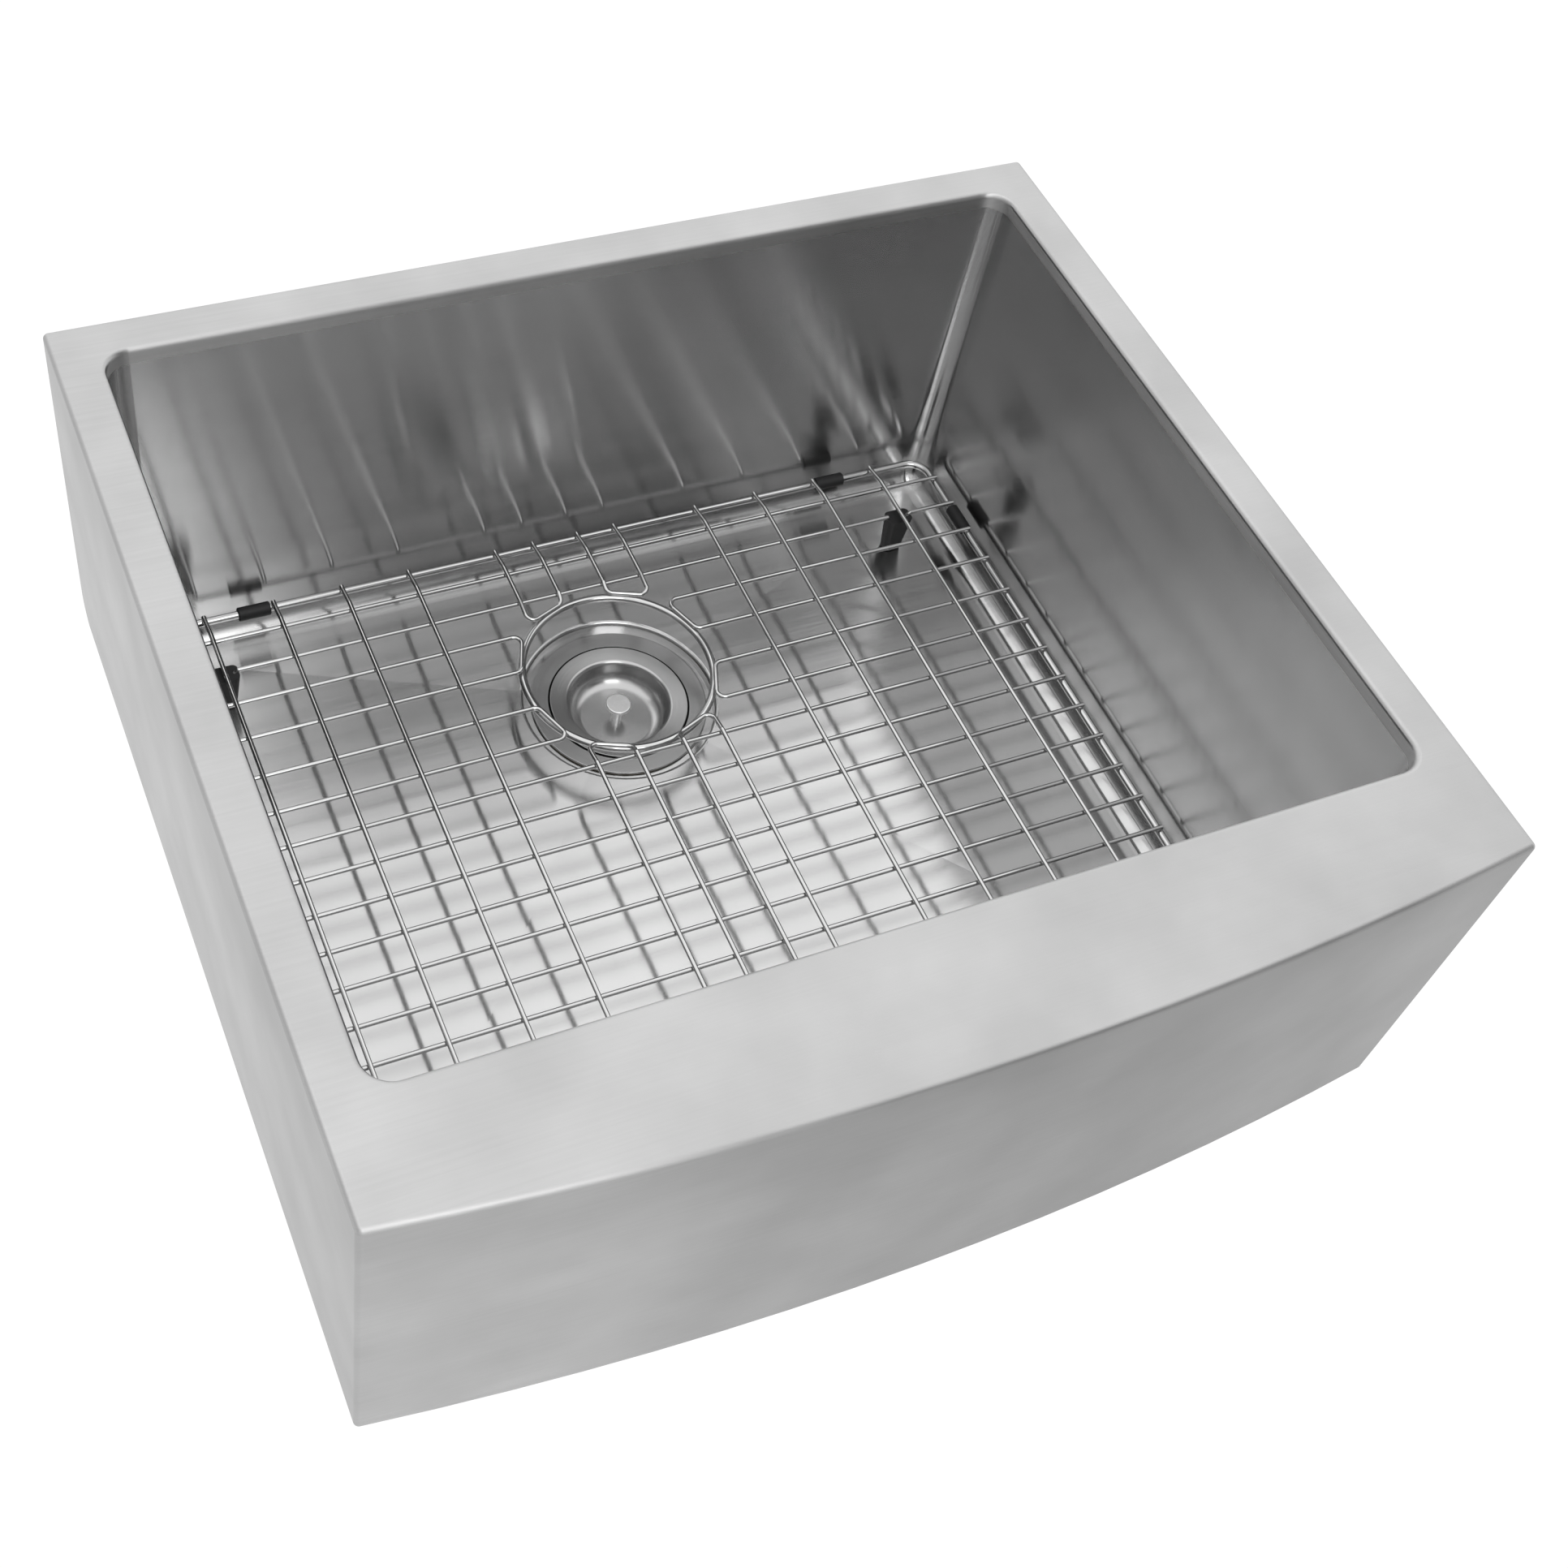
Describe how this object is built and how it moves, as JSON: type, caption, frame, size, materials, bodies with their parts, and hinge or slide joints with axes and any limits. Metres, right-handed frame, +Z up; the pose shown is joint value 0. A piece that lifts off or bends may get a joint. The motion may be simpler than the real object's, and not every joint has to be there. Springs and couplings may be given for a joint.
{
  "type": "farmhouse apron front sink",
  "caption": "Single-bowl stainless farmhouse kitchen sink with a bowed apron front, a lift-out wire bottom grid and a basket strainer drain with its tailpiece.",
  "frame": {"origin": "middle of the back rim's top face, where a worktop bears on the sink", "axes": "+X from left to right along the apron, +Y towards the wall behind the sink, +Z up"},
  "size_m": [0.6096, 0.569, 0.4092],
  "materials": {
    "bowl_steel": "satin brushed stainless sheet",
    "apron_steel": "satin brushed stainless sheet",
    "drain_steel": "spun and brushed stainless",
    "grid_steel": "electropolished stainless wire",
    "black_rubber": "matt moulded rubber",
    "pad_rubber": "matt rubber sheet",
    "stopper_rubber": "moulded rubber",
    "putty": "plumber's putty",
    "fibre": "pressed fibre",
    "zinc_nut": "die-cast zinc",
    "brass_socket": "turned brass",
    "tail_steel": "polished stainless tube"
  },
  "bodies": {
    "sink": {"apron_shell": "apron_steel", "sink_bowl": "bowl_steel", "front_wall_pad": "pad_rubber", "right_wall_pad": "pad_rubber", "back_wall_pad": "pad_rubber", "left_wall_pad": "pad_rubber", "floor_pad": "pad_rubber", "strainer_body": "drain_steel", "strainer_outlet": "drain_steel", "drain_putty_ring": "putty", "drain_gasket": "stopper_rubber", "friction_ring": "fibre", "lock_nut": "zinc_nut", "post_socket": "brass_socket", "tailpiece_washer": "stopper_rubber", "coupling_nut": "zinc_nut", "tailpiece": "tail_steel"},
    "basket": {"basket_cup": "drain_steel", "basket_knob": "drain_steel", "basket_stopper": "stopper_rubber", "stopper_nut": "drain_steel"},
    "grid": {"grid_frame": "grid_steel", "grid_cross_wires": "grid_steel", "grid_long_wires": "grid_steel", "drain_ring": "grid_steel", "hairpin_left_front": "grid_steel", "hairpin_left_rear": "grid_steel", "hairpin_right_front": "grid_steel", "hairpin_right_rear": "grid_steel", "hairpin_front_left": "grid_steel", "hairpin_front_right": "grid_steel", "hairpin_rear_left": "grid_steel", "hairpin_rear_right": "grid_steel", "bumper_left_front": "black_rubber", "bumper_left_rear": "black_rubber", "bumper_right_front": "black_rubber", "bumper_right_rear": "black_rubber", "bumper_front_left": "black_rubber", "bumper_front_right": "black_rubber", "bumper_rear_left": "black_rubber", "bumper_rear_right": "black_rubber", "foot_front_left": "black_rubber", "foot_front_right": "black_rubber", "foot_rear_left": "black_rubber", "foot_rear_right": "black_rubber"}
  },
  "joints": [
    {"name": "grid_lift", "type": "slide", "parent": "sink", "child": "grid", "axis": [0, 0, 1], "range_m": [0, 0.26]},
    {"name": "basket_lift", "type": "slide", "parent": "sink", "child": "basket", "axis": [0, 0, 1], "range_m": [0, 0.1]}
  ]
}
